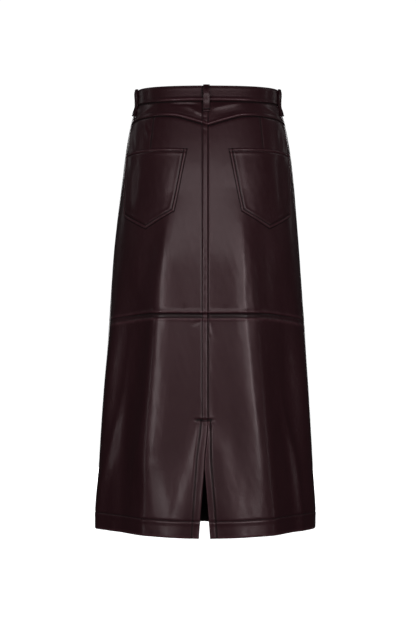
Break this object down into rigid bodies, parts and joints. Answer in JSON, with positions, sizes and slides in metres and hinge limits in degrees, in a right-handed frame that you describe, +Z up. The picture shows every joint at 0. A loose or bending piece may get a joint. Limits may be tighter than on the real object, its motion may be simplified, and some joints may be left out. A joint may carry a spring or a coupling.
{
  "type": "leather midi skirt",
  "caption": "High-waisted A-line leather midi skirt with belt loops, back yoke, pointed patch pockets, a seam round the middle and a centre back slit, filled out as worn.",
  "frame": {"origin": "middle of the waist opening, level with the waistband's top edge", "axes": "+Z up along the skirt's length, +Y to the front, +X to the right-hand side as worn"},
  "size_m": [0.409, 0.2625, 0.8213],
  "materials": {
    "leather_panels": "semi-gloss dark oxblood, fine grain",
    "leather_trim": "semi-gloss dark oxblood, fine grain, doubled and topstitched",
    "zip_tape": "woven tape",
    "button_metal": "dark nickel"
  },
  "bodies": {
    "root": {"waistband_left": "leather_trim", "waistband_right": "leather_trim", "yoke_left": "leather_panels", "yoke_right": "leather_panels", "back_upper_left": "leather_panels", "back_upper_right": "leather_panels", "back_lower_left": "leather_panels", "back_lower_right": "leather_panels", "front_upper_left": "leather_panels", "front_upper_right": "leather_panels", "front_lower_left": "leather_panels", "front_lower_right": "leather_panels", "back_pocket_left": "leather_trim", "back_pocket_right": "leather_trim", "belt_loop_back": "leather_trim", "belt_loop_side_left": "leather_trim", "belt_loop_side_right": "leather_trim", "belt_loop_front_left": "leather_trim", "belt_loop_front_right": "leather_trim", "fly_zip": "zip_tape", "waist_button": "button_metal"}
  },
  "joints": []
}
